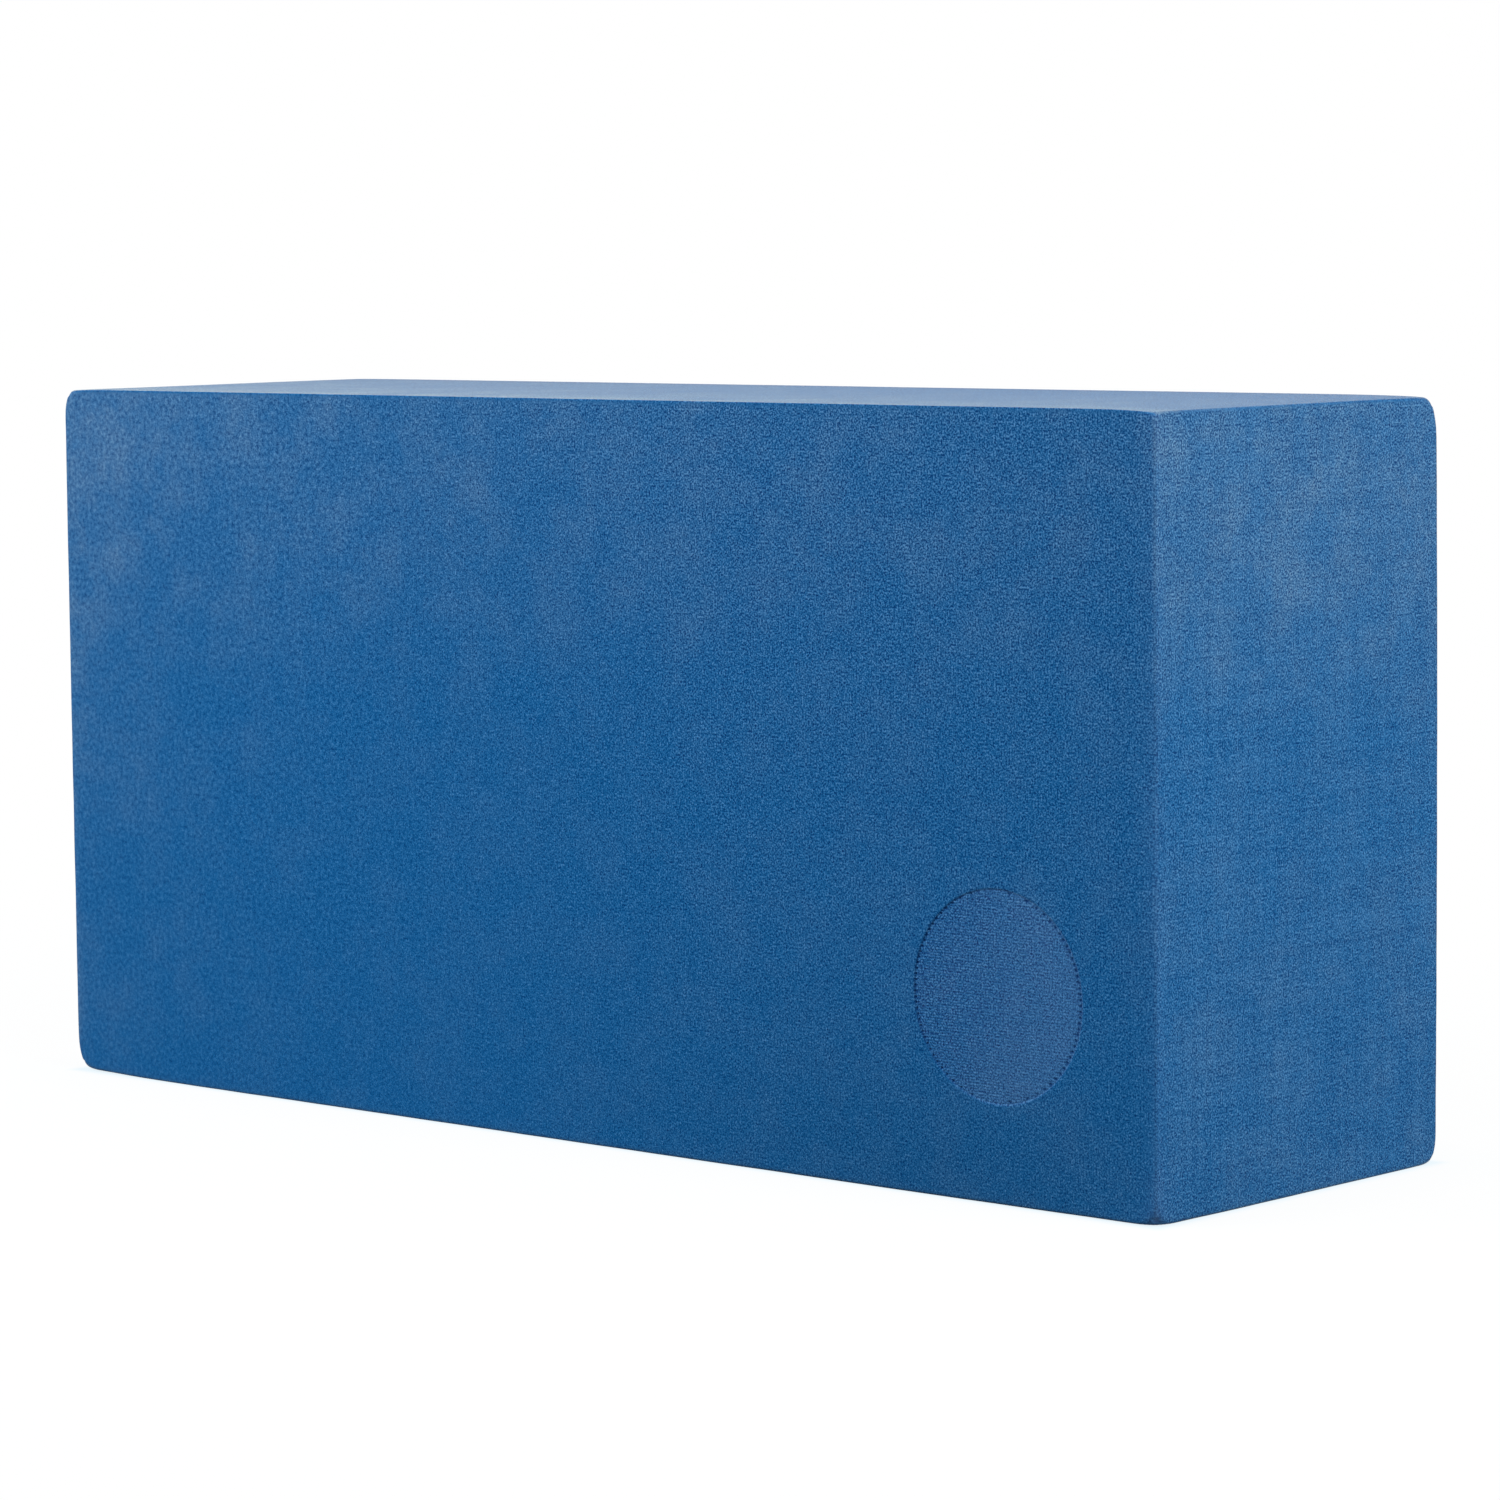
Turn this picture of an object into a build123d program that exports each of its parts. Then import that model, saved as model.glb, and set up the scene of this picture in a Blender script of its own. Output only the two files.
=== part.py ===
from build123d import *
from itertools import product
from math import sqrt
import os

# A yoga block: one brick of firm closed-cell foam, with eased edges, rounded
# corners and one shallow round field cut into its front face.
# Millimetres. The brick stands on a long narrow face, with its front towards -Y.

# Brick
length = 220.0
thickness = 66.0
height = 110.0

# Edges and corners: a ball rounds each corner and leaves the edges this far from it
edge_radius = 0.8
corner_reach = 3.0
corner_ball_radius = 6.0

# Round field, by its centre's distance from the right-hand end and from the base
field_diameter = 30.0
field_depth = 0.2
field_from_end = 27.6
field_from_base = 29.0

# The ball passes through three points, one on each edge, corner_reach from the corner,
# so its centre lies this far in from each of the three faces
ball_inset = (corner_reach + sqrt(3 * corner_ball_radius**2 - 2 * corner_reach**2)) / 3

front_y = -thickness / 2
field_x = length / 2 - field_from_end


def corner_waste(side_x, side_y, side_z):
    """What the ball leaves over in one corner of the sharp brick."""
    corner = Vector(side_x * length / 2, side_y * thickness / 2, height / 2 + side_z * height / 2)
    inward = Vector(-side_x, -side_y, -side_z) * ball_inset
    cube = Pos(*(corner + inward * 0.5)) * Box(ball_inset, ball_inset, ball_inset)
    ball = Pos(*(corner + inward)) * Sphere(corner_ball_radius)
    return cube - ball


def foam_brick():
    """The sawn brick, with its corners rounded and every edge eased."""
    brick = Box(length, thickness, height, align=(Align.CENTER, Align.CENTER, Align.MIN))
    for sides in product((-1, 1), repeat=3):
        brick -= corner_waste(*sides)
    return fillet(brick.edges(), edge_radius)


def round_field():
    """The shallow disc that is cut away from the front face."""
    face_centre = Plane(origin=(field_x, front_y, field_from_base), z_dir=(0, 1, 0))
    return extrude(face_centre * Circle(field_diameter / 2), amount=field_depth)


block = foam_brick() - round_field()

os.makedirs("parts", exist_ok=True)
export_step(block, "parts/block.step")
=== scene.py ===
import math

import bpy
import numpy as np
from mathutils import Matrix, Vector, geometry, noise


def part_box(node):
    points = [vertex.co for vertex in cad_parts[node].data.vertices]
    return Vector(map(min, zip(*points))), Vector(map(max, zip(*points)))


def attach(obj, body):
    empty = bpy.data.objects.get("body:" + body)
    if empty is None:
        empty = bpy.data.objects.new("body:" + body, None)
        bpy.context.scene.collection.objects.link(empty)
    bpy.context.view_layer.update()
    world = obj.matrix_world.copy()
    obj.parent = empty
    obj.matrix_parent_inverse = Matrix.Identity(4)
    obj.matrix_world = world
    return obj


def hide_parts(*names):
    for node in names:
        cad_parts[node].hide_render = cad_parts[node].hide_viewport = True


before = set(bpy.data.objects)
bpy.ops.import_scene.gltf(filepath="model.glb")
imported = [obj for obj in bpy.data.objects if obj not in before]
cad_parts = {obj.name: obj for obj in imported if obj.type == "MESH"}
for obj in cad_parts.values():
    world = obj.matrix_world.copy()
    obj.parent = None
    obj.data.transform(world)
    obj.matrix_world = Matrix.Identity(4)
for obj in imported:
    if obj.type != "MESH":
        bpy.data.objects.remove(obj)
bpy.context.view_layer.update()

low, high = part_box("block")

MM = 0.001
HALF = (high - low) / 2
CENTRE = (high + low) / 2
HEIGHT = 2 * HALF.z

# Camera, fitted to the outline of the brick in the photograph
CAMERA_PLACE = Vector((541.8, -594.4, 133.6)) * MM
CAMERA_TURN = math.radians(41.953)
CAMERA_DOWN = math.radians(5.533)
CAMERA_ROLL = math.radians(-0.530)
FOCAL_PIXELS = 5322.0
PHOTO_PIXELS = 1500
SENSOR_MM = 36.0

# Corners of the foam brick, by their sides in x, y and z: the radius across, the radius
# upward and how far they taper off along the edges, in millimetres
CORNER = (1.8, 1.8, 1.9)
CORNERS = {
    (1, -1, 1): (0.8, 0.8, 1.6),
    (1, -1, -1): (1.9, 1.9, 2.1),
    (-1, -1, 1): (1.7, 1.7, 2.2),
    (-1, -1, -1): (2.2, 2.2, 2.6),
    (-1, 1, 1): (1.2, 1.2, 1.9),
    (1, 1, 1): (2.1, 2.1, 2.8),
}

# Where the sawn brick is not quite true: the corner that is shifted, how far that reaches
# in x, y and z, and the shift, in millimetres
WARPS = (
    ((1, -1, 1), (6, 4.5, 40), (0, 0, -0.05)),
    ((1, -1, 1), (5, 60, 40), (0, 0, -0.2)),
    ((1, -1, -1), (30, 12, 12), (0, 0, 0.1)),
    ((-1, -1, 1), (6, 50, 30), (0, 0, -0.17)),
    ((-1, -1, -1), (13, 30, 30), (0, 0, 0.28)),
    ((1, 1, 1), (5, 5, 28), (-0.15, -0.15, 0)),
    ((1, 1, 1), (9, 9, 30), (0, 0, -0.12)),
)

# Edges. The front top edge is sharper, and so is the upright edge that the camera is
# nearest to, but for one worn stretch.
EDGE_RADIUS = 0.45 * MM
EDGE_WANDER = 0.25
EDGE_WANDER_SIZE = 7 * MM
EDGE_REACH = 3 * MM
FRONT_TOP_RADIUS = 0.14 * MM
NEAR_EDGE_RADIUS = 0.3 * MM
NEAR_WORN_RADIUS = 1.1 * MM
NEAR_WORN_HEIGHT = 53 * MM
NEAR_WORN_REACH = 12 * MM

# How far the faces fall away towards their edges, and how much they ripple: the upright
# faces, then the top. The base stays flat.
FACE_BOW = 0.12 * MM
TOP_BOW = 0.03 * MM
BOW_POWER = 4
FACE_RIPPLE = 0.05 * MM
TOP_RIPPLE = 0.03 * MM
RIPPLE_SIZE = 26 * MM

# Places in the noise that each use of it starts from
WANDER_SEED = 1.0
RIPPLE_SEED_PER_AXIS = 9.0
LINE_SEED = 3.0
PATCH_SEED = 20.0
STREAK_SEED = 7.0

# Grid lines of the faces: steps inward from each edge in millimetres, then an even step
EDGE_STEPS = [0.0, 0.1, 0.2, 0.32, 0.46, 0.62, 0.8, 1.05, 1.4, 1.9, 2.5, 3.3, 4.3, 5.6, 7.3, 9.4]
EVEN_STEP = 2.4 * MM

# Round field on the front face, cut in fine level lines
FIELD_X = 82.35 * MM - CENTRE.x
FIELD_Z = 28.95 * MM - CENTRE.z
FIELD_RADIUS = 15.05 * MM
FIELD_WALL = 0.2 * MM
FLOOR_RADIUS = FIELD_RADIUS - FIELD_WALL
FIELD_DEPTH = 0.11 * MM
RIM_GROOVE = 0.03 * MM
RIM_GROOVE_REACH = 0.15 * MM
# Painted shade on the left-hand part of the field's wall, which faces away from the light
WALL_SHADE = 0.35

# Its lines, which are shallower where the foam has melted, and their roughness
LINE_PITCH = 0.4 * MM
LINE_DEPTH = 0.043 * MM
UNMELTED_LINES = 1.1
LINES_LOST_TO_MELT = 0.5
LINE_ROUGHNESS = 0.6
ROUGH_LENGTH = 0.7 * MM
ROUGH_HEIGHT = 0.25 * MM

# The pit where each line starts
PIT_RADIUS_LEFT = 0.28 * MM
PIT_RADIUS_RIGHT = 0.35 * MM
PIT_INSET_LEFT = 0.1 * MM
PIT_INSET_RIGHT = 0.3 * MM
PIT_DEPTH = 0.12 * MM
PIT_POWER = 1.5

# The melted skin of the field, and how it grows towards the lower right, where its lightening is partly a
# painted sheen
MELT_LEAST = 0.2
MELT_MOST = 1.0
MELT_MIDDLE = 0.56
MELT_LEAN_X = 0.95
MELT_LEAN_Z = -0.2

# Mesh of the field's floor: even rows, a few closer rows at its top and bottom, and steps
# inward from the ends of each row in millimetres, with an even middle
ROWS_PER_LINE = 6
CAP_SHARES = (0.5, 0.2, 0.05)
ROW_STEPS = [0.0, 0.08, 0.16, 0.24, 0.34, 0.46, 0.65, 1.0, 1.6, 2.5]
ROW_MIDDLE_COUNT = 27

# Mesh of its wall, and of the face round it: rings, by their gap from the rim in
# millimetres and their number of vertices, and then grid places from a margin on
WALL_SHARES = (0.3, 0.7, 1.0)
WINDOW_MARGIN = 1.6 * MM
RINGS = ((0.3, 320), (0.8, 150), (1.4, 90))
GRID_MARGIN = 2.2 * MM
JOIN_DISTANCE = 1e-9


def make_camera():
    """The camera of the photograph: its place, its turn and its long lens."""
    forward = Vector((
        -math.sin(CAMERA_TURN) * math.cos(CAMERA_DOWN),
        math.cos(CAMERA_TURN) * math.cos(CAMERA_DOWN),
        -math.sin(CAMERA_DOWN),
    ))
    level = Vector((math.cos(CAMERA_TURN), math.sin(CAMERA_TURN), 0.0))
    upright = level.cross(forward)
    right = math.cos(CAMERA_ROLL) * level + math.sin(CAMERA_ROLL) * upright
    up = math.cos(CAMERA_ROLL) * upright - math.sin(CAMERA_ROLL) * level
    data = bpy.data.cameras.new("camera")
    data.sensor_width = SENSOR_MM
    data.lens = FOCAL_PIXELS / PHOTO_PIXELS * SENSOR_MM
    data.clip_start = 0.01
    data.clip_end = 50.0
    camera = bpy.data.objects.new("camera", data)
    turn = Matrix((right, up, -forward)).transposed().to_4x4()
    camera.matrix_world = Matrix.Translation(CAMERA_PLACE) @ turn
    bpy.context.scene.collection.objects.link(camera)
    bpy.context.scene.camera = camera


make_camera()


# Surface of the brick, first as a sharp box about its own centre

def graded(half):
    """Coordinates of the grid lines across a face, closer together near its edges."""
    near = [step * MM for step in EDGE_STEPS]
    inner = half - near[-1]
    middle = np.linspace(-inner, inner, round(2 * inner / EVEN_STEP) + 1)
    return [step - half for step in near[:-1]] + list(middle) + [half - step for step in near[-2::-1]]


LINES = [graded(half) for half in HALF]


class Skin:
    """The vertices and faces of the brick. Vertices of the sharp box at one place are one vertex."""

    def __init__(self):
        self.places = []
        self.sunk = []
        self.field = []
        # Darkness of the field's pits, partly char and partly painted shade, and the painted shade of its
        # wall
        self.pit = []
        self.faces = []
        self.known = {}

    def add(self, place, sunk=0.0, field=0.0, pit=0.0):
        """A new vertex: its place on the sharp box, how far it is sunk, and its marks of the field."""
        self.places.append(place)
        self.sunk.append(sunk)
        self.field.append(field)
        self.pit.append(pit)
        return len(self.places) - 1

    def grid_vertex(self, place):
        """The one vertex where grid lines cross, which neighbouring faces share."""
        if place not in self.known:
            self.known[place] = self.add(place)
        return self.known[place]


def window_range(lines, centre):
    """The grid lines between which the front face is meshed round the field."""
    margin = FIELD_RADIUS + WINDOW_MARGIN
    first = max(k for k, line in enumerate(lines) if line < centre - margin)
    last = min(k for k, line in enumerate(lines) if line > centre + margin)
    return first, last


WINDOW_X = window_range(LINES[0], FIELD_X)
WINDOW_Z = window_range(LINES[2], FIELD_Z)


def add_face_grid(skin, axis, side):
    """One flat face as a grid of quads, without the window round the field."""
    first, second = [other for other in range(3) if other != axis]
    has_field = (axis, side) == (1, -1)

    def vertex(i, j):
        place = [0.0, 0.0, 0.0]
        place[axis] = side * HALF[axis]
        place[first] = LINES[first][i]
        place[second] = LINES[second][j]
        return skin.grid_vertex(tuple(place))

    flip = side == (1 if axis == 1 else -1)
    for i in range(len(LINES[first]) - 1):
        for j in range(len(LINES[second]) - 1):
            if has_field and WINDOW_X[0] <= i < WINDOW_X[1] and WINDOW_Z[0] <= j < WINDOW_Z[1]:
                continue
            quad = [vertex(i, j), vertex(i + 1, j), vertex(i + 1, j + 1), vertex(i, j + 1)]
            skin.faces.append(quad[::-1] if flip else quad)


def on_front(x, z):
    """A place on the front face, by its distance from the field's centre."""
    return (FIELD_X + x, -HALF.y, FIELD_Z + z)


def field_levels():
    """Heights of the rows of the field's floor, closer together at its top and bottom."""
    step = LINE_PITCH / ROWS_PER_LINE
    count = int(FLOOR_RADIUS / step)
    levels = [k * step for k in range(-count, count + 1)]
    last = FLOOR_RADIUS - levels[-1]
    caps = [FLOOR_RADIUS - last * share for share in CAP_SHARES]
    return [-level for level in caps[::-1]] + levels + caps


def field_shares():
    """Places across a row of the floor, from -1 to 1, closer together near its ends."""
    ends = [1 - step * MM / FLOOR_RADIUS for step in ROW_STEPS]
    middle = list(np.linspace(-ends[-1], ends[-1], ROW_MIDDLE_COUNT))
    return [-share for share in ends[:-1]] + middle + ends[-2::-1]


def line_starts():
    """Where each level line starts: at the left for one line and at the right for the next."""
    starts = []
    count = int(FLOOR_RADIUS / LINE_PITCH)
    for line in range(-count, count + 1):
        level = line * LINE_PITCH
        side = (-1) ** line
        reach = (FLOOR_RADIUS - (PIT_INSET_RIGHT if side > 0 else PIT_INSET_LEFT)) ** 2 - level**2
        if reach > 0:
            starts.append((math.sqrt(reach) * side, level))
    return np.array(starts)


def melt_share(x, z):
    """How much the field's skin is lightened by melt, partly real and partly a painted sheen: most towards
    its lower right.
    """
    lean = (MELT_LEAN_X * x + MELT_LEAN_Z * z) / FIELD_RADIUS
    share = min(1.0, max(0.0, MELT_MIDDLE + MELT_MIDDLE * lean))
    return MELT_LEAST + (MELT_MOST - MELT_LEAST) * share


def add_field_floor(skin):
    """The floor of fine level lines, with a pit where each line starts, row by row."""
    starts = line_starts()
    reaches = np.where(starts[:, 0] > 0, PIT_RADIUS_RIGHT, PIT_RADIUS_LEFT)
    rows = []
    for level in field_levels():
        half_width = math.sqrt(FLOOR_RADIUS**2 - level**2)
        groove = 0.5 + 0.5 * math.cos(2 * math.pi * level / LINE_PITCH)
        row = []
        for share in field_shares():
            x = half_width * share
            rough = noise.noise(Vector((x / ROUGH_LENGTH, level / ROUGH_HEIGHT, LINE_SEED)))
            near = np.min(np.hypot(starts[:, 0] - x, starts[:, 1] - level) / reaches)
            pit = max(0.0, 1 - near**2) ** PIT_POWER
            to_edge = FLOOR_RADIUS - math.hypot(x, level)
            moat = RIM_GROOVE * math.exp(-((to_edge / RIM_GROOVE_REACH) ** 2))
            melt = melt_share(x, level)
            line_depth = LINE_DEPTH * (UNMELTED_LINES - LINES_LOST_TO_MELT * melt)
            sunk = FIELD_DEPTH + line_depth * (groove + LINE_ROUGHNESS * rough) + moat + PIT_DEPTH * pit
            row.append((x, level, skin.add(on_front(x, level), sunk, melt, pit)))
        rows.append(row)
    for lower, upper in zip(rows, rows[1:]):
        for k in range(len(lower) - 1):
            skin.faces.append([lower[k][2], lower[k + 1][2], upper[k + 1][2], upper[k][2]])
    return rows


def add_field_wall(skin, rows):
    """The field's low wall, from the edge of its floor out to its rim on the face."""
    inner = [row[-1] for row in rows] + rows[-1][-2:0:-1]
    inner += [row[0] for row in rows[::-1]] + rows[0][1:-1]
    for share in WALL_SHARES:
        outer = []
        for x, z, foot in inner:
            scale = (FLOOR_RADIUS + share * FIELD_WALL) / math.hypot(x, z)
            sunk = (FIELD_DEPTH + 0.5 * LINE_DEPTH) * (1 - share)
            mark = skin.field[foot] * (share < 1)
            # The larger of the wall's painted shade, most on its left where it faces away from the light,
            # and the darkness of the pit below it
            wall_shade = max(-WALL_SHADE * x / math.hypot(x, z), skin.pit[foot]) * (share < 1)
            vertex = skin.add(on_front(x * scale, z * scale), sunk, mark, wall_shade)
            outer.append((x * scale, z * scale, vertex))
        for k in range(len(inner)):
            after = (k + 1) % len(inner)
            skin.faces.append([inner[k][2], outer[k][2], outer[after][2], inner[after][2]])
        inner = outer
    return inner


def add_window(skin, rim):
    """The flat of the front face between the field's rim and the grid round it."""
    xs = LINES[0][WINDOW_X[0]:WINDOW_X[1] + 1]
    zs = LINES[2][WINDOW_Z[0]:WINDOW_Z[1] + 1]
    border = [(x, zs[0]) for x in xs] + [(xs[-1], z) for z in zs[1:]]
    border += [(x, zs[-1]) for x in xs[-2::-1]] + [(xs[0], z) for z in zs[-2:0:-1]]
    points = [Vector((x, z)) for x, z, _ in rim]
    ids = [vertex for _, _, vertex in rim]
    points += [Vector((x - FIELD_X, z - FIELD_Z)) for x, z in border]
    ids += [skin.grid_vertex((x, -HALF.y, z)) for x, z in border]
    loops = [(k, (k + 1) % len(rim)) for k in range(len(rim))]
    loops += [(len(rim) + k, len(rim) + (k + 1) % len(border)) for k in range(len(border))]
    loose = [Vector((x - FIELD_X, z - FIELD_Z)) for x in xs[1:-1] for z in zs[1:-1]]
    loose = [point for point in loose if point.length > FIELD_RADIUS + GRID_MARGIN]
    for gap, count in RINGS:
        ring = [2 * math.pi * (k + 0.5) / count for k in range(count)]
        radius = FIELD_RADIUS + gap * MM
        loose += [Vector((radius * math.cos(angle), radius * math.sin(angle))) for angle in ring]
    points += loose
    ids += [skin.add(on_front(*point)) for point in loose]
    flat, _, triangles, sources, *_ = geometry.delaunay_2d_cdt(points, loops, [], 0, JOIN_DISTANCE)
    for a, b, c in triangles:
        from_points = [sources[k][0] for k in (a, b, c)]
        if max(from_points) < len(rim):
            continue  # inside the field
        corners = [ids[k] for k in from_points]
        left_turn = (flat[b] - flat[a]).cross(flat[c] - flat[a]) > 0
        skin.faces.append(corners if left_turn else corners[::-1])


def ripple(place, size, seed):
    """Smooth noise from 0 to 1 with features of a given size."""
    return 0.5 + 0.5 * noise.noise(Vector(place) / size + Vector((0, 0, seed)))


def around(distance, reach):
    """1 at no distance, falling smoothly to 0 to either side over about twice the reach."""
    return np.exp(-((distance / reach) ** 2))


def worn_stretch(places):
    """1 at the height where the near upright edge is rounded by wear, falling to 0 above and below."""
    return around(places[:, 2] + HALF.z - NEAR_WORN_HEIGHT, NEAR_WORN_REACH)


def corner_forms(places):
    """The radius across, the radius upward and the taper of the corner that each place is nearest to."""
    forms = np.tile(np.array(CORNER), (len(places), 1))
    for sides, form in CORNERS.items():
        forms[(places * sides > 0).all(axis=1)] = form
    return forms.T * MM


def edge_radii(places, inset):
    """The radius of the edge that each place is nearest to."""
    wander = np.array([2 * ripple(place, EDGE_WANDER_SIZE, WANDER_SEED) - 1 for place in places])
    edge = EDGE_RADIUS * (1 + EDGE_WANDER * wander)
    front_top = (places[:, 1] < 0) & (places[:, 2] > 0)
    beside = front_top * around(np.hypot(inset[:, 1], inset[:, 2]), EDGE_REACH)
    edge += (FRONT_TOP_RADIUS - edge) * beside
    near = (places[:, 0] > 0) & (places[:, 1] < 0)
    beside = near * around(np.hypot(inset[:, 0], inset[:, 1]), EDGE_REACH)
    near_edge = NEAR_EDGE_RADIUS + (NEAR_WORN_RADIUS - NEAR_EDGE_RADIUS) * worn_stretch(places)
    return edge + (near_edge - edge) * beside


def rounded(places):
    """The sharp box with its edges eased and its corners softened."""
    half = np.array(HALF)
    inset = half - np.abs(places)
    across, upward, taper = corner_forms(places)
    soft = around(inset.max(axis=1), taper)[:, None]
    corner = np.stack((across, across, upward), axis=1)
    radius = edge_radii(places, inset)[:, None] * (1 - soft) + corner * soft
    inner = half - radius
    core = np.clip(places, -inner, inner)
    arm = (places - core) / radius
    arm /= np.linalg.norm(arm, axis=1)[:, None]
    return core + arm * radius


def bowed(places):
    """The faces faintly bowed and rippled, always inward, and the base left flat."""
    share = np.clip(np.abs(places) / np.array(HALF), 0, 1) ** BOW_POWER
    result = places.copy()
    for axis in range(3):
        others = share.sum(axis=1) - share[:, axis]
        seed = RIPPLE_SEED_PER_AXIS * axis
        ripples = np.array([ripple(place, RIPPLE_SIZE, seed) for place in places])
        bow, rippled = (TOP_BOW, TOP_RIPPLE) if axis == 2 else (FACE_BOW, FACE_RIPPLE)
        pull = (bow * others / 2 + rippled * ripples) * share[:, axis]
        if axis == 2:
            pull *= places[:, 2] > 0
        result[:, axis] -= np.sign(places[:, axis]) * pull
    return result


def warp_shift(places):
    """How far each place is shifted where the sawn brick is not quite true."""
    shift = np.zeros_like(places)
    for sides, reach, change in WARPS:
        from_corner = (np.array(HALF) - places * sides) / (np.array(reach) * MM)
        share = np.exp(-(from_corner**2).sum(axis=1))
        shift += share[:, None] * np.array(change) * MM
    return shift


def foam_form(places):
    """The sharp box as sawn foam, which stays within that box."""
    half = np.array(HALF)
    return np.clip(bowed(rounded(places)) + warp_shift(places), -half, half)


# Marks that the mesh carries for the material

def smooth_step(values, start, end):
    """0 up to the start, 1 from the end on, and a smooth rise between them."""
    share = np.clip((values - start) / (end - start), 0, 1)
    return share * share * (3 - 2 * share)


def fading(distance, reach):
    """1 at no distance, falling towards 0, with about a third left at the reach."""
    return np.exp(-distance / reach)


# Painted shade on the edges round the base, but for the foot of the near edge, and round the back, where
# they face down or away from the light, and a faint darker tinge on the right-hand part of the top
EDGE_SHADE_REACH = 0.4 * MM
EDGE_SHADE_UP_TO = 1 * MM
EDGE_SHADE_END = 3 * MM
UNSHADED_NEAR_EDGE = 1 * MM
EDGE_SHADE_FROM_NEAR_EDGE = 8 * MM
TOP_RIGHT_TINGE = 0.16
TOP_RIGHT_TINGE_TO = 0.9 * HALF.x
TOP_MARK_REACH = 0.5 * MM


def on_top_share(places):
    """1 on the top face and 0 on the others."""
    return smooth_step(places[:, 2], HALF.z - TOP_MARK_REACH, HALF.z)


def painted_shade_and_tinge_share(places):
    """How much painted shade the foam carries: most on the edges round the base and the back, with a faint
    darker tinge on the top's right.
    """
    x, y, z = places.T
    inset = np.array(HALF) - np.abs(places)
    beside = fading(np.sort(inset, axis=1)[:, 1], EDGE_SHADE_REACH)
    from_near = np.hypot(HALF.x - x, y + HALF.y)
    lowest = 1 - smooth_step(z + HALF.z, EDGE_SHADE_UP_TO, EDGE_SHADE_END)
    lowest *= smooth_step(from_near, UNSHADED_NEAR_EDGE, EDGE_SHADE_FROM_NEAR_EDGE)
    rearmost = 1 - smooth_step(HALF.y - y, EDGE_SHADE_UP_TO, EDGE_SHADE_END)
    top_right = TOP_RIGHT_TINGE * on_top_share(places) * smooth_step(x, 0.0, TOP_RIGHT_TINGE_TO)
    return np.maximum(beside * np.maximum(lowest, rearmost), top_right)


# A deeper tone along the rear edge of the top
DEEP_REAR = 0.27
DEEP_REAR_REACH = 4.5 * MM


def deep_share(places, pits):
    """How deep in tone the foam is: in the pits of the field, partly char and partly painted shade, on its
    wall as painted shade, and a little along the top's rear edge.
    """
    return pits + DEEP_REAR * on_top_share(places) * fading(HALF.y - places[:, 1], DEEP_REAR_REACH)


# Wear and painted light on the near upright edge: all along it and more at its top, partly wear and partly a
# painted highlight;
# low down and right at its foot, painted light where its corner faces down into shade; and wear on the front
# beside the worn stretch
WEAR_AND_LIGHT_REACH = 1.2 * MM
WEAR_AND_LIGHT_ALONG = 0.5
WEAR_AND_LIGHT_TOP = 0.5
WEAR_AND_LIGHT_TOP_REACH = 3 * MM
PAINTED_LIGHT_LOW = 0.7
PAINTED_LIGHT_LOW_REACH = 6 * MM
PAINTED_LIGHT_FOOT = 3.5
PAINTED_LIGHT_FOOT_REACH = 1.8 * MM
WORN_STRETCH = 0.5
WORN_STRETCH_REACH = 1.8 * MM
WORN_STRETCH_FRONT = 0.5 * MM


def wear_and_painted_light_share(places):
    """How pale the near upright edge is made: most at its foot, by painted light, then at its top and along
    it, partly wear and partly a painted highlight, and by wear beside the rounded stretch.
    """
    x, y, z = places.T
    from_end, from_front, height = HALF.x - x, y + HALF.y, z + HALF.z
    beside = fading(np.maximum(from_end, from_front), WEAR_AND_LIGHT_REACH)
    ends = WEAR_AND_LIGHT_ALONG + WEAR_AND_LIGHT_TOP * fading(HALF.z - z, WEAR_AND_LIGHT_TOP_REACH)
    ends += PAINTED_LIGHT_LOW * fading(height, PAINTED_LIGHT_LOW_REACH)
    ends += PAINTED_LIGHT_FOOT * fading(height, PAINTED_LIGHT_FOOT_REACH)
    stretch = WORN_STRETCH * worn_stretch(places) * fading(from_end, WORN_STRETCH_REACH)
    return beside * ends + stretch * (from_front < WORN_STRETCH_FRONT)


# Painted sheen on the sides, lighter where the light falls most: right under the top and high up, less
# towards the right;
# near the left end; right beside its edge, most low down; and a trace on the right half
SIDE_SHEEN_RIM = 0.014
SIDE_SHEEN_RIM_REACH = 8 * MM
SIDE_SHEEN_HIGH = 0.020
SIDE_SHEEN_FROM, SIDE_SHEEN_TO = 60 * MM, 92 * MM
SIDE_SHEEN_MIDDLE = 0.85
SIDE_SHEEN_LEAN = 0.4
LEFT_SHEEN = 0.033
LEFT_SHEEN_REACH = 20 * MM
LEFT_SHEEN_LOW, LEFT_SHEEN_GAIN = 0.35, 0.65
LEFT_SHEEN_FROM, LEFT_SHEEN_TO = 26 * MM, 60 * MM
EDGE_SHEEN_LOW, EDGE_SHEEN_LOSS = 0.09, 0.06
EDGE_SHEEN_FROM, EDGE_SHEEN_TO = 25 * MM, 60 * MM
EDGE_SHEEN_REACH = 0.8 * MM
RIGHT_SHEEN = 0.005
RIGHT_SHEEN_TO = 0.8 * HALF.x

# Painted sheen on the top: less towards the back and the right, and a painted highlight most behind the
# front edge
TOP_SHEEN = 0.055
TOP_SHEEN_BACK = 0.045
TOP_SHEEN_RIGHT = 0.03
TOP_HIGHLIGHT = 0.11
TOP_HIGHLIGHT_REACH = 5 * MM
TOP_SHEEN_BARE_EDGE = 0.3 * MM

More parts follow.
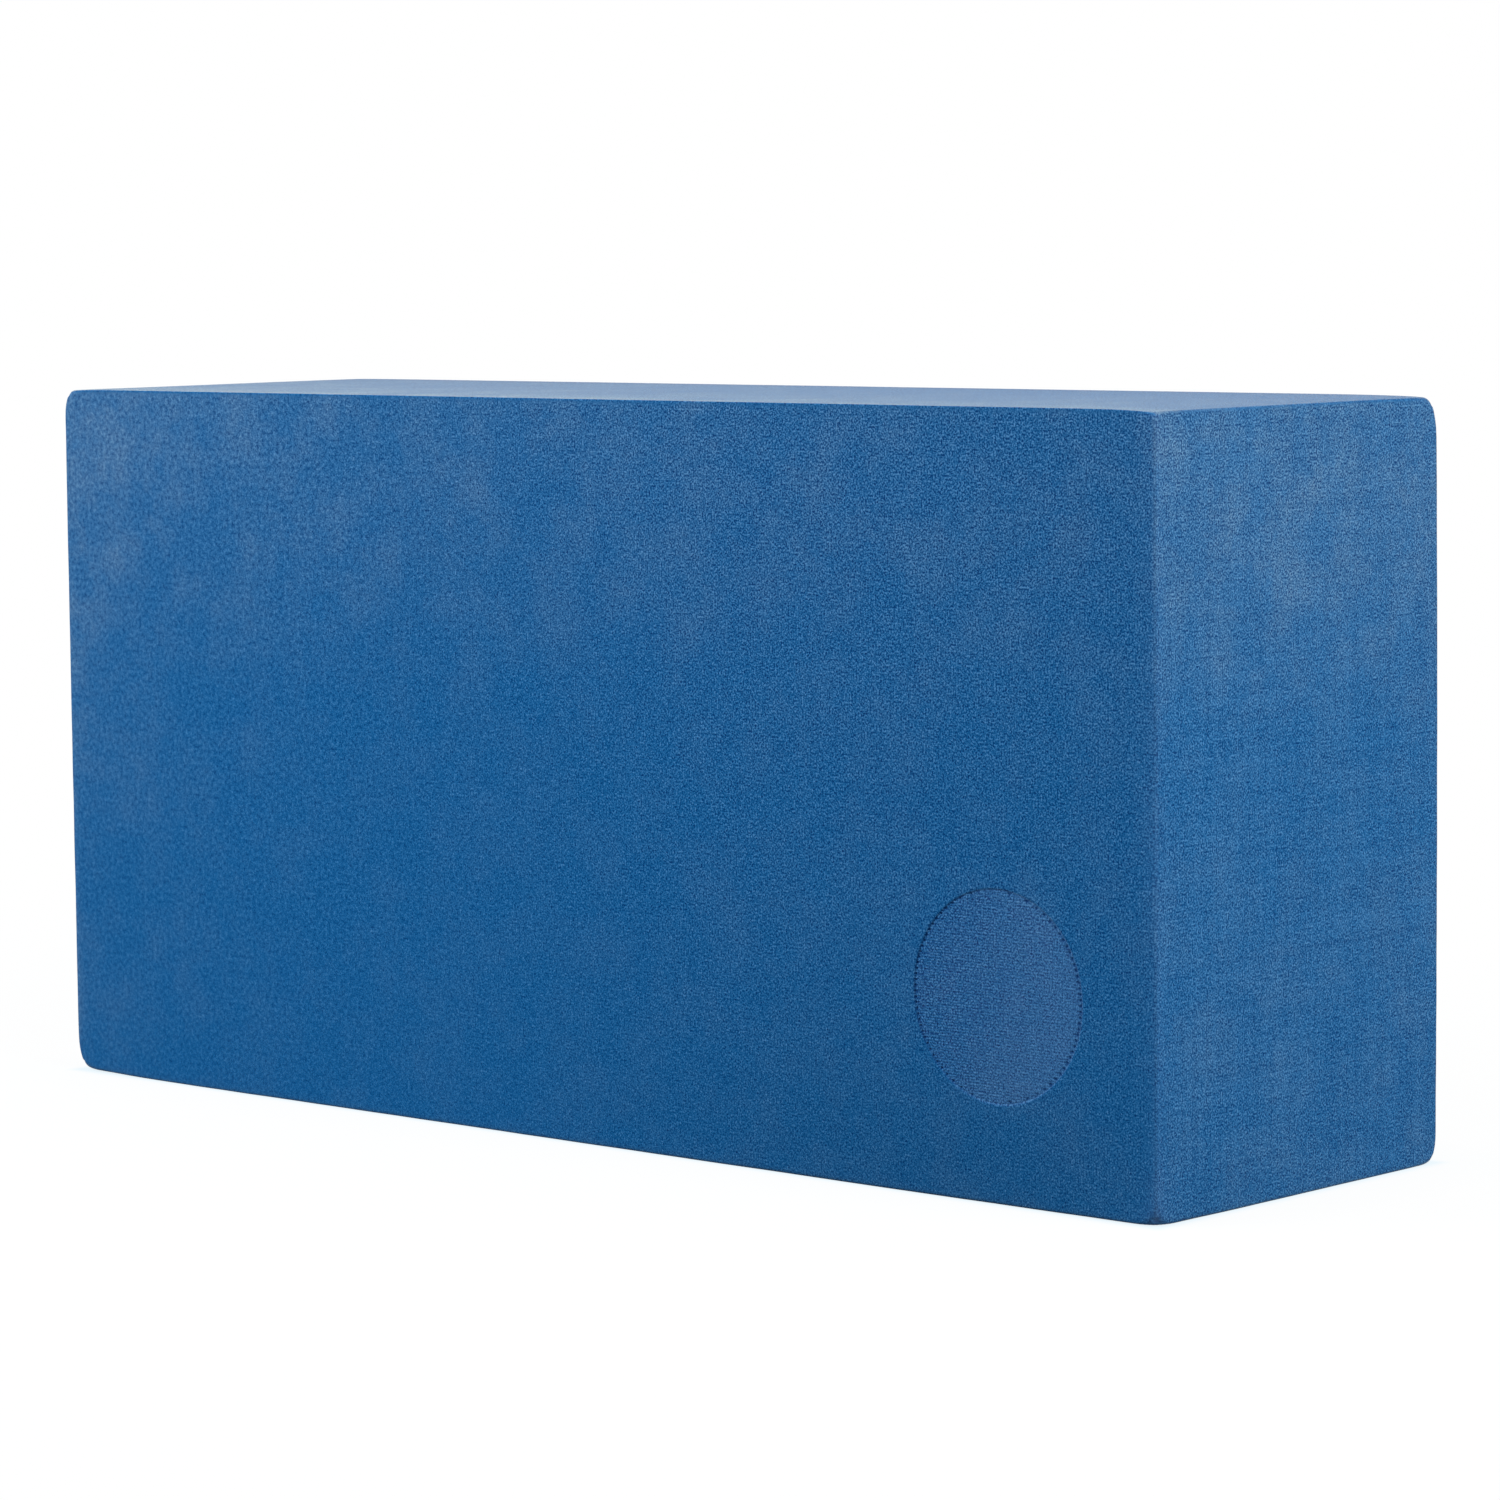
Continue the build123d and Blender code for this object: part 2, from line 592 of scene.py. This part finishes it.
# Painted sheen on the right end: a trace all over, a little low down and more high up
END_SHEEN = 0.011
END_SHEEN_LOW = 0.006
END_SHEEN_LOW_FROM, END_SHEEN_LOW_TO = 35 * MM, 50 * MM
END_SHEEN_HIGH = 0.045
END_SHEEN_HIGH_FROM, END_SHEEN_HIGH_TO = 58 * MM, 98 * MM
END_MARK_REACH = 1 * MM

# Patches in all of it
PATCH_SIZE = 12 * MM
PATCH_LEAST, PATCH_GAIN = 0.6, 0.8


def side_painted_sheen(x, z):
    """Painted sheen on the front, and in the same way on the back and the left end."""
    height, from_left = z + HALF.z, x + HALF.x
    painted_sheen = SIDE_SHEEN_RIM * fading(HALF.z - z, SIDE_SHEEN_RIM_REACH)
    painted_sheen += SIDE_SHEEN_HIGH * smooth_step(height, SIDE_SHEEN_FROM, SIDE_SHEEN_TO)
    painted_sheen *= SIDE_SHEEN_MIDDLE - SIDE_SHEEN_LEAN * x / HALF.x
    left_side = LEFT_SHEEN_LOW + LEFT_SHEEN_GAIN * smooth_step(height, LEFT_SHEEN_FROM, LEFT_SHEEN_TO)
    painted_sheen += LEFT_SHEEN * fading(from_left, LEFT_SHEEN_REACH) * left_side
    edge_sheen = EDGE_SHEEN_LOW - EDGE_SHEEN_LOSS * smooth_step(height, EDGE_SHEEN_FROM, EDGE_SHEEN_TO)
    painted_sheen += edge_sheen * fading(from_left, EDGE_SHEEN_REACH)
    return painted_sheen + RIGHT_SHEEN * smooth_step(x, 0.0, RIGHT_SHEEN_TO)


def top_painted_sheen(x, y):
    """Painted sheen and a painted highlight on the top, but for the very front edge."""
    from_front = y + HALF.y
    painted_sheen = TOP_SHEEN - TOP_SHEEN_BACK * y / HALF.y - TOP_SHEEN_RIGHT * x / HALF.x
    painted_sheen += TOP_HIGHLIGHT * fading(from_front, TOP_HIGHLIGHT_REACH)
    return np.maximum(painted_sheen, 0.0) * smooth_step(from_front, 0.0, TOP_SHEEN_BARE_EDGE)


def end_painted_sheen(z):
    """Painted sheen on the right end."""
    height = z + HALF.z
    low_down = 1 - smooth_step(height, END_SHEEN_LOW_FROM, END_SHEEN_LOW_TO)
    high_up = smooth_step(height, END_SHEEN_HIGH_FROM, END_SHEEN_HIGH_TO)
    return END_SHEEN + END_SHEEN_LOW * low_down + END_SHEEN_HIGH * high_up


def painted_sheen_share(places):
    """How much painted sheen lies on the foam, in patches."""
    x, y, z = places.T
    on_end = smooth_step(x, HALF.x - END_MARK_REACH, HALF.x)
    on_top = on_top_share(places)
    sides = side_painted_sheen(x, z) * (1 - on_end) + end_painted_sheen(z) * on_end
    patches = np.array([ripple(place, PATCH_SIZE, PATCH_SEED) for place in places])
    return (sides * (1 - on_top) + top_painted_sheen(x, y) * on_top) * (PATCH_LEAST + PATCH_GAIN * patches)


def make_brick():
    """The whole brick as one closed mesh."""
    skin = Skin()
    for axis in range(3):
        for side in (-1, 1):
            add_face_grid(skin, axis, side)
    rows = add_field_floor(skin)
    add_window(skin, add_field_wall(skin, rows))
    places = np.array(skin.places)
    out = foam_form(places)
    out[:, 1] += np.array(skin.sunk)
    out += np.array(CENTRE)
    mesh = bpy.data.meshes.new("foam_block")
    mesh.from_pydata(out.tolist(), [], skin.faces)
    # Marks for the material: wear and painted light, painted shade with a darker tinge, painted sheen, a
    # deeper tone that is partly painted shade, and the field
    marks = {
        "wear_and_painted_light": wear_and_painted_light_share(places),
        "painted_shade_and_tinge": painted_shade_and_tinge_share(places),
        "painted_sheen": painted_sheen_share(places),
        "deep": deep_share(places, np.array(skin.pit)),
        "field": skin.field,
    }
    for name, values in marks.items():
        attribute = mesh.attributes.new(name, "FLOAT", "POINT")
        attribute.data.foreach_set("value", np.array(values, np.float32))
    mesh.polygons.foreach_set("use_smooth", [True] * len(mesh.polygons))
    mesh.update()
    piece = bpy.data.objects.new("foam_block", mesh)
    bpy.context.scene.collection.objects.link(piece)
    return piece


# Materials

# How far along an axis the normal points where one flat face gives way to the next
FACING = 0.707


class Nodes:
    """Short ways to add and link the nodes of a node tree."""

    def __init__(self, tree):
        self.tree = tree
        self.tree.nodes.clear()

    def add(self, kind, inputs=None, **settings):
        node = self.tree.nodes.new(kind)
        for key, value in settings.items():
            setattr(node, key, value)
        for key, value in (inputs or {}).items():
            if isinstance(value, bpy.types.NodeSocket):
                self.tree.links.new(value, node.inputs[key])
            else:
                node.inputs[key].default_value = value
        return node

    def math(self, operation, first, second=0.0, third=0.0):
        node = self.add("ShaderNodeMath", {0: first, 1: second, 2: third}, operation=operation)
        return node.outputs[0]

    def map(self, value, low, high, to_low=0.0, to_high=1.0):
        inputs = {"Value": value, "From Min": low, "From Max": high, "To Min": to_low, "To Max": to_high}
        return self.add("ShaderNodeMapRange", inputs, clamp=True).outputs[0]

    def mix(self, factor, first, second):
        node = self.add("ShaderNodeMix", {0: factor, 6: first, 7: second}, data_type="RGBA")
        return node.outputs[2]

    def split(self, vector):
        return self.add("ShaderNodeSeparateXYZ", {0: vector}).outputs

    def join(self, x, y, z):
        return self.add("ShaderNodeCombineXYZ", {0: x, 1: y, 2: z}).outputs[0]

    def band(self, value, middle, reach):
        """1 at a middle value, falling to 0 a given reach to either side."""
        away = self.math("ABSOLUTE", self.math("SUBTRACT", value, middle))
        return self.map(away, 0.0, reach, 1.0, 0.0)

    def ramp(self, value, stops):
        node = self.add("ShaderNodeValToRGB", {0: value})
        while len(node.color_ramp.elements) < len(stops):
            node.color_ramp.elements.new(0.5)
        for element, (position, tint) in zip(node.color_ramp.elements, stops):
            element.position = position
            element.color = tint
        return node.outputs[0]

    def noise(self, place, size, detail=2.0, roughness=0.5, flat=False):
        """Noise from 0 to 1 whose features are about size metres apart."""
        inputs = {"Vector": place, "Scale": 1 / size, "Detail": detail, "Roughness": roughness}
        dimensions = "2D" if flat else "3D"
        return self.add("ShaderNodeTexNoise", inputs, noise_dimensions=dimensions).outputs[0]

    def on_face(self, place, normal):
        """The place on whichever flat face it is nearest to, as two coordinates."""
        x, y, z = self.split(place)
        across, _, up = self.split(normal)
        on_end = self.math("GREATER_THAN", self.math("ABSOLUTE", across), FACING)
        on_top = self.math("GREATER_THAN", self.math("ABSOLUTE", up), FACING)
        first = self.math("MULTIPLY_ADD", on_end, self.math("SUBTRACT", y, x), x)
        second = self.math("MULTIPLY_ADD", on_top, self.math("SUBTRACT", y, z), z)
        return self.join(first, second, 0.0)

    def mark(self, name):
        """A value that the mesh carries at each vertex."""
        return self.add("ShaderNodeAttribute", attribute_name=name).outputs["Fac"]


def colour(red, green, blue):
    """A colour written as 0 to 255 in sRGB, for a shader socket."""
    def linear(value):
        value /= 255
        return value / 12.92 if value <= 0.04045 else ((value + 0.055) / 1.055) ** 2.4
    return (linear(red), linear(green), linear(blue), 1.0)


# Foam: five tones of the grain from pit to fleck
DEEP = (0.0, 0.029, 0.139, 1.0)
DARK = (0.0, 0.059, 0.203, 1.0)
PLAIN = (0.005, 0.102, 0.294, 1.0)
LIGHT = (0.0245, 0.157, 0.389, 1.0)
PALE = (0.062, 0.2255, 0.499, 1.0)
TONES = ((0.0, DEEP), (0.25, DARK), (0.5, PLAIN), (0.75, LIGHT), (1.0, PALE))

# The grain: fine cells, coarser and fainter ones towards the left, flecks and pores
GRAIN_SIZE = 0.28 * MM
GRAIN_CONTRAST = 1.75
LEFT_GRAIN = 0.15
FULL_GRAIN_AT = 0.3 * HALF.x
SOFT_GRAIN_SIZE = 0.65 * MM
SOFT_GRAIN_CONTRAST = 0.62
SOFT_GRAIN_TO = 0.5 * HALF.x
FLECK_GAP = 0.45 * MM
FLECK_CORE = 0.1
FLECK_REACH = 0.45
FLECK_CONTRAST = 0.3
FLECKS = 0.3
PORES = 0.2
MOTTLE = 0.12
MOTTLE_SIZE = 3 * MM

# How strong the grain is in each part
LOW_GRAIN = 0.77
HIGH_GRAIN = 1.25
END_LOW_GRAIN = 1.15
END_HIGH_GRAIN = 1.25
END_FROM, END_FULL = HALF.x - 0.6 * MM, HALF.x - 0.2 * MM
TOP_GRAIN = 1.1
TOP_FROM, TOP_FULL = HEIGHT - 0.6 * MM, HEIGHT - 0.3 * MM
RIM_GRAIN = 0.4
RIM_HEIGHT = HEIGHT - 0.45 * MM
RIM_REACH = 0.4 * MM
FIELD_GRAIN = 1.35

# What lies over the grain. How a cover follows the tone or the noise under it is written
# as two values of that, and then the strength at each.
# Chalk for a veil that clouds the foam at random, and the colour of the painted sheen, highlights and glints
CHALK_AND_SHEEN = colour(200, 214, 200)
CHALK_AND_SHEEN_ON_TONES = (0.1, 0.9, 0.2, 1.8)
CLOUD_SHARE = 0.015
CLOUD_SIZE = 9 * MM
CLOUD_FROM, CLOUD_TO = 0.42, 0.72
CLOUDLESS_SHEEN, CLOUDED_SHEEN = 0.75, 1.7
# Pale wear on the near edge, with a painted highlight, and painted light at its downward foot
WEAR_AND_PAINTED_LIGHT = colour(106, 146, 206)
WEAR_AND_PAINTED_LIGHT_SHARE = 0.12
# Painted shade on the edges round the base and the back, and a darker tinge on the top's right
SHADE_AND_TINGE = colour(66, 82, 94)
SHADE_AND_TINGE_SHARE = 0.4
SCORCH = colour(75, 50, 112)
SCORCH_SHARE = 0.05
SCORCH_SIZE = 2.5 * MM
SCORCH_ON_NOISE = (0.35, 0.65, 0.4, 1.6)
# The melted skin of the field, whose lightening is partly a painted sheen
MELT_AND_SHEEN = colour(88, 134, 184)
MELT_AND_SHEEN_SHARE = 0.27
MELT_AND_SHEEN_ON_TONES = (0.0, 1.0, 0.5, 1.5)

# Saw marks on the ends, and the passes of the blade: the height, the reach up and down,
# where across the end it comes in and is full, and how strong it is there
STREAK_SHARE = 0.11
STREAK_SIZE = 0.9 * MM
STREAK_SQUEEZE = 0.03
STREAK_FROM, STREAK_TO = 0.75, 1.25
PASS_SHARE = 0.16
UPPER_PASS = (34.4 * MM, 0.5 * MM, -27 * MM, -21 * MM, 0.0, 1.0)
LOWER_PASS = (19.6 * MM, 0.5 * MM, -6 * MM, 2 * MM, 0.0, 0.5)
BAND_SHARE = 0.1
PALE_BAND = (37.6 * MM, 2.4 * MM, -20 * MM, 24 * MM, 0.2, 1.0)

# Its surface
ROUGHNESS = 0.42
SPECULAR = 0.02
SHEEN = 0.18
SHEEN_ROUGHNESS = 0.3
SHEEN_TINT = (0.95, 1.0, 0.8, 1.0)
BUMP_STRENGTH = 0.5
BUMP_DEPTH = 0.05 * MM


def grain(n, flat, along):
    """The cut cells: fine and crisp at the right, and coarser and fainter towards the left."""
    fine = n.math("SUBTRACT", n.noise(flat, GRAIN_SIZE, detail=1.0, roughness=0.6, flat=True), 0.5)
    tone = n.math("MULTIPLY", fine, GRAIN_CONTRAST)
    # Bright flecks and dark pores: some of the cells, each with a dot at its middle
    cells = n.add("ShaderNodeTexVoronoi", {"Vector": flat, "Scale": 1 / FLECK_GAP}, voronoi_dimensions="2D")
    dot = n.map(cells.outputs["Distance"], FLECK_CORE, FLECK_REACH, 1.0, 0.0)
    chance = n.split(cells.outputs["Color"])[0]
    sign = n.math("SUBTRACT", n.math("GREATER_THAN", chance, 1 - FLECKS), n.math("LESS_THAN", chance, PORES))
    tone = n.math("MULTIPLY_ADD", n.math("MULTIPLY", dot, sign), FLECK_CONTRAST, tone)
    tone = n.math("MULTIPLY", tone, n.map(along, -HALF.x, FULL_GRAIN_AT, LEFT_GRAIN, 1.0))
    soft = n.math("SUBTRACT", n.noise(flat, SOFT_GRAIN_SIZE, detail=1.0, flat=True), 0.5)
    to_left = n.map(along, -SOFT_GRAIN_TO, SOFT_GRAIN_TO, SOFT_GRAIN_CONTRAST, 0.0)
    return n.math("MULTIPLY_ADD", soft, to_left, tone)


def grain_strength(n, up, on_end, in_field):
    """How strong the grain is: most high up, on the ends and in the field, and faint on the top's rim."""
    of_sides = n.map(up, 0.0, HEIGHT, LOW_GRAIN, HIGH_GRAIN)
    of_ends = n.map(up, 0.0, HEIGHT, END_LOW_GRAIN, END_HIGH_GRAIN)
    strength = n.math("MULTIPLY_ADD", on_end, n.math("SUBTRACT", of_ends, of_sides), of_sides)
    on_top = n.map(up, TOP_FROM, TOP_FULL)
    on_rim = n.band(up, RIM_HEIGHT, RIM_REACH)
    for part, change in ((on_top, TOP_GRAIN), (in_field, FIELD_GRAIN), (on_rim, RIM_GRAIN)):
        strength = n.math("MULTIPLY", strength, n.map(part, 0.0, 1.0, 1.0, change))
    return strength


def with_veil_and_sheen(n, base, tone, place):
    """The foam under a chalky veil that clouds it at random and under the painted sheen; both lie most on
    the flecks, where the sheen is painted glints.
    """
    on_flecks = n.map(tone, *CHALK_AND_SHEEN_ON_TONES)
    cloud = n.map(n.noise(place, CLOUD_SIZE, detail=4.0, roughness=0.7), CLOUD_FROM, CLOUD_TO)
    veil = n.math("MULTIPLY", cloud, CLOUD_SHARE)
    clouded = n.map(cloud, 0.0, 1.0, CLOUDLESS_SHEEN, CLOUDED_SHEEN)
    # The painted sheen that the mesh carries, heavier where the clouds are
    veil = n.math("MULTIPLY_ADD", n.mark("painted_sheen"), clouded, veil)
    return n.mix(n.math("MULTIPLY", veil, on_flecks), base, CHALK_AND_SHEEN)


def blade_pass(n, up, across, height, reach, start, full, least, most):
    """One level mark of the blade, which comes in across the end."""
    return n.math("MULTIPLY", n.band(up, height, reach), n.map(across, start, full, least, most))


def sawn(n, base, on_end, along, across, up):
    """The ends with fine streaks both ways, and the right end with passes of the blade."""
    level = n.join(n.math("MULTIPLY", across, STREAK_SQUEEZE), up, 0.0)
    upright = n.join(across, n.math("MULTIPLY", up, STREAK_SQUEEZE), STREAK_SEED)
    streaks = n.math("ADD", n.noise(level, STREAK_SIZE, 1.0), n.noise(upright, STREAK_SIZE, 1.0))
    streaks = n.map(streaks, STREAK_FROM, STREAK_TO, -STREAK_SHARE, STREAK_SHARE)
    upper, lower, pale = [blade_pass(n, up, across, *form) for form in (UPPER_PASS, LOWER_PASS, PALE_BAND)]
    passes = n.math("MULTIPLY", n.math("ADD", upper, lower), PASS_SHARE)
    passes = n.math("MULTIPLY_ADD", pale, -BAND_SHARE, passes)
    passes = n.math("MULTIPLY", passes, n.math("GREATER_THAN", along, 0.0))
    dark = n.math("MULTIPLY", on_end, n.math("ADD", passes, streaks))
    base = n.mix(n.math("MAXIMUM", dark, 0.0), base, DEEP)
    return n.mix(n.math("MAXIMUM", n.math("MULTIPLY", dark, -1.0), 0.0), base, PALE)


def scorched_melted_and_sheened(n, base, tone, place, field, in_field):
    """The field: scorched faintly all over, and lightened by melt, partly real and partly a painted sheen,
    most on the flecks.
    """
    scorched = n.map(n.noise(place, SCORCH_SIZE, roughness=0.6), *SCORCH_ON_NOISE)
    base = n.mix(n.math("MULTIPLY", n.math("MULTIPLY", in_field, scorched), SCORCH_SHARE), base, SCORCH)
    melt_and_sheen = n.math("MULTIPLY", n.map(field, MELT_LEAST, MELT_MOST), n.map(tone, *MELT_AND_SHEEN_ON_TONES))
    return n.mix(n.math("MULTIPLY", melt_and_sheen, MELT_AND_SHEEN_SHARE), base, MELT_AND_SHEEN)


def foam_material():
    """Fine closed-cell foam: grain, a chalky veil and painted sheen, saw marks, wear and painted light on
    the near edge, painted shade on edges, and the field.
    """
    material = bpy.data.materials.new("eva_foam")
    material.use_nodes = True
    n = Nodes(material.node_tree)
    texture_space = n.add("ShaderNodeTexCoord").outputs
    place = texture_space["Object"]
    flat = n.on_face(place, texture_space["Normal"])
    along, across, up = n.split(place)
    on_end = n.map(n.math("ABSOLUTE", along), END_FROM, END_FULL)
    field = n.mark("field")
    in_field = n.map(field, 0.0, MELT_LEAST)

    mottle = n.math("SUBTRACT", n.noise(place, MOTTLE_SIZE, detail=3.0, roughness=0.7), 0.5)
    middle = n.math("MULTIPLY_ADD", mottle, MOTTLE, 0.5)
    strength = grain_strength(n, up, on_end, in_field)
    tone = n.math("MULTIPLY_ADD", grain(n, flat, along), strength, middle)
    # The grain under a chalky veil and painted sheen
    base = with_veil_and_sheen(n, n.ramp(tone, TONES), tone, place)
    base = sawn(n, base, on_end, along, across, up)
    # The near edge: wear with a painted highlight, and painted light where its foot faces down into shade
    base = n.mix(n.math("MULTIPLY", n.mark("wear_and_painted_light"), WEAR_AND_PAINTED_LIGHT_SHARE), base, WEAR_AND_PAINTED_LIGHT)
    # Painted shade on the edges round the base and the back, and a darker tinge on the top's right
    base = n.mix(n.math("MULTIPLY", n.mark("painted_shade_and_tinge"), SHADE_AND_TINGE_SHARE), base, SHADE_AND_TINGE)
    # The field: scorch, and a lightening by melt that is partly a painted sheen towards its lower right
    base = scorched_melted_and_sheened(n, base, tone, place, field, in_field)
    # A deeper tone: the field's pits, partly char and partly painted shade, the painted shade of its wall,
    # and the top's rear edge
    base = n.mix(n.mark("deep"), base, DEEP)

    bump = n.add("ShaderNodeBump", {"Height": tone, "Strength": BUMP_STRENGTH, "Distance": BUMP_DEPTH})
    shader = n.add("ShaderNodeBsdfPrincipled", {
        "Base Color": base,
        "Roughness": ROUGHNESS,
        "Normal": bump.outputs[0],
        "Specular IOR Level": SPECULAR,
        "Sheen Weight": SHEEN,
        "Sheen Roughness": SHEEN_ROUGHNESS,
        "Sheen Tint": SHEEN_TINT,
    })
    n.add("ShaderNodeOutputMaterial", {"Surface": shader.outputs[0]})
    return material


# Floor, in metres: the share of its light that it gives back, and how white the camera
# sees it. The shadow has a dark part against the brick and a wide faint one.
FLOOR_HALF_SIZE = 8.0
FLOOR_BOUNCE = 0.36
FLOOR_SHADE = 0.1
FLOOR_SHADE_PLACE = (0.07, -0.06, 0.0)
FLOOR_SHADE_FROM, FLOOR_SHADE_TO = 0.02, 0.085
FLOOR_TINT = (0.82, 0.93, 0.99, 1.0)
FLOOR_WHITE = 0.97
FLOOR_WHITE_FROM, FLOOR_WHITE_TO = 0.06, 0.22
FLOOR_CONTACT = 0.06
FLOOR_CONTACT_REACH = 0.016
FLOOR_GLOW = (0.86, 0.95, 1.0, 1.0)
FLOOR_GLOW_REACH = 2.5 * MM
WHITE = (1.0, 1.0, 1.0, 1.0)


def seen_white(n):
    """1 for rays that should meet a white studio: from the camera, a gloss or a glass."""
    path = n.add("ShaderNodeLightPath").outputs
    seen = n.math("MAXIMUM", path["Is Camera Ray"], path["Is Glossy Ray"])
    return n.math("MAXIMUM", seen, path["Is Transmission Ray"])


def away_from_brick(n, place):
    """How far a place on the floor is from the brick's footprint."""
    x, y, _ = n.split(place)
    beyond_x = n.math("MAXIMUM", n.math("SUBTRACT", n.math("ABSOLUTE", x), HALF.x), 0.0)
    beyond_y = n.math("MAXIMUM", n.math("SUBTRACT", n.math("ABSOLUTE", y), HALF.y), 0.0)
    return n.math("SQRT", n.math("ADD", n.math("POWER", beyond_x, 2.0), n.math("POWER", beyond_y, 2.0)))


def floor_material():
    """A pale floor that the camera sees as white, with the faint shadow of the brick."""
    material = bpy.data.materials.new("studio_floor")
    material.use_nodes = True
    n = Nodes(material.node_tree)
    seen = seen_white(n)
    place = n.add("ShaderNodeTexCoord").outputs["Object"]
    # The floor gives back less light close to the front of the brick, towards its right
    to_front = n.add("ShaderNodeVectorMath", {0: place, 1: FLOOR_SHADE_PLACE}, operation="DISTANCE")
    distance = to_front.outputs["Value"]
    bounce = n.map(distance, FLOOR_SHADE_FROM, FLOOR_SHADE_TO, FLOOR_SHADE, FLOOR_BOUNCE)
    pale = n.mix(seen, n.join(bounce, bounce, bounce), FLOOR_TINT)
    matt = n.add("ShaderNodeBsdfDiffuse", {"Color": pale})
    # What shows of the shadow is strongest where the floor meets the brick
    away = away_from_brick(n, place)
    contact = n.map(away, 0.0, FLOOR_CONTACT_REACH, FLOOR_CONTACT, 0.0)
    whiteness = n.map(away, FLOOR_WHITE_FROM, FLOOR_WHITE_TO, FLOOR_WHITE, 1.0)
    share = n.math("MULTIPLY", seen, n.math("SUBTRACT", whiteness, contact))
    # Right beside the brick the floor has a painted blue glow, for the light that the brick bounces onto it
    glow = n.math("POWER", n.map(away, 0.0, FLOOR_GLOW_REACH, 1.0, 0.0), 2.0)
    lit = n.mix(glow, WHITE, FLOOR_GLOW)
    white = n.add("ShaderNodeEmission", {"Color": lit, "Strength": 1.0})
    both = n.add("ShaderNodeMixShader", {0: share, 1: matt.outputs[0], 2: white.outputs[0]})
    n.add("ShaderNodeOutputMaterial", {"Surface": both.outputs[0]})
    return material


# Studio: an even white surround, and softboxes aimed at the middle of the brick, each with
# its place and size in metres, its power in watts and its tint
SURROUND_LIGHT = 0.45
SOFTBOXES = {
    "left_near": ((-0.24, -0.3, 0.42), 0.28, 1.2, (1.0, 1.0, 1.0)),
    "left_far": ((-0.3, -0.6, 0.45), 0.45, 2.1, (1.0, 1.0, 1.0)),
    "right_near": ((0.5, 0.0, 0.45), 0.45, 3.0, (0.98, 1.0, 0.95)),
    "right_far": ((1.4, 0.1, 0.6), 0.9, 1.55, (1.0, 1.03, 0.97)),
    "back": ((-0.81, 0.89, 0.55), 1.0, 0.9, (1.0, 1.0, 1.0)),
}


def make_floor():
    size = FLOOR_HALF_SIZE
    mesh = bpy.data.meshes.new("floor")
    corners = [(-size, -size, 0.0), (size, -size, 0.0), (size, size, 0.0), (-size, size, 0.0)]
    mesh.from_pydata(corners, [], [(0, 1, 2, 3)])
    mesh.materials.append(floor_material())
    floor = bpy.data.objects.new("floor", mesh)
    bpy.context.scene.collection.objects.link(floor)


def make_world():
    """The white surround, at a plain level for the light that falls on the brick."""
    world = bpy.data.worlds.new("studio")
    world.use_nodes = True
    bpy.context.scene.world = world
    n = Nodes(world.node_tree)
    strength = n.map(seen_white(n), 0.0, 1.0, SURROUND_LIGHT, 1.0)
    light = n.add("ShaderNodeBackground", {"Color": WHITE, "Strength": strength})
    n.add("ShaderNodeOutputWorld", {"Surface": light.outputs[0]})


def add_softbox(name, place, size, power, tint):
    data = bpy.data.lights.new(name, "AREA")
    data.shape = "SQUARE"
    data.size = size
    data.energy = power
    data.color = tint
    light = bpy.data.objects.new(name, data)
    light.location = place
    light.rotation_euler = (CENTRE - Vector(place)).to_track_quat("-Z", "Y").to_euler()
    light.visible_camera = False
    bpy.context.scene.collection.objects.link(light)


bpy.context.scene.view_settings.view_transform = "Standard"
make_floor()
make_world()
for name, form in SOFTBOXES.items():
    add_softbox(name, *form)

brick = make_brick()
brick.data.materials.append(foam_material())
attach(brick, "root")
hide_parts("block")
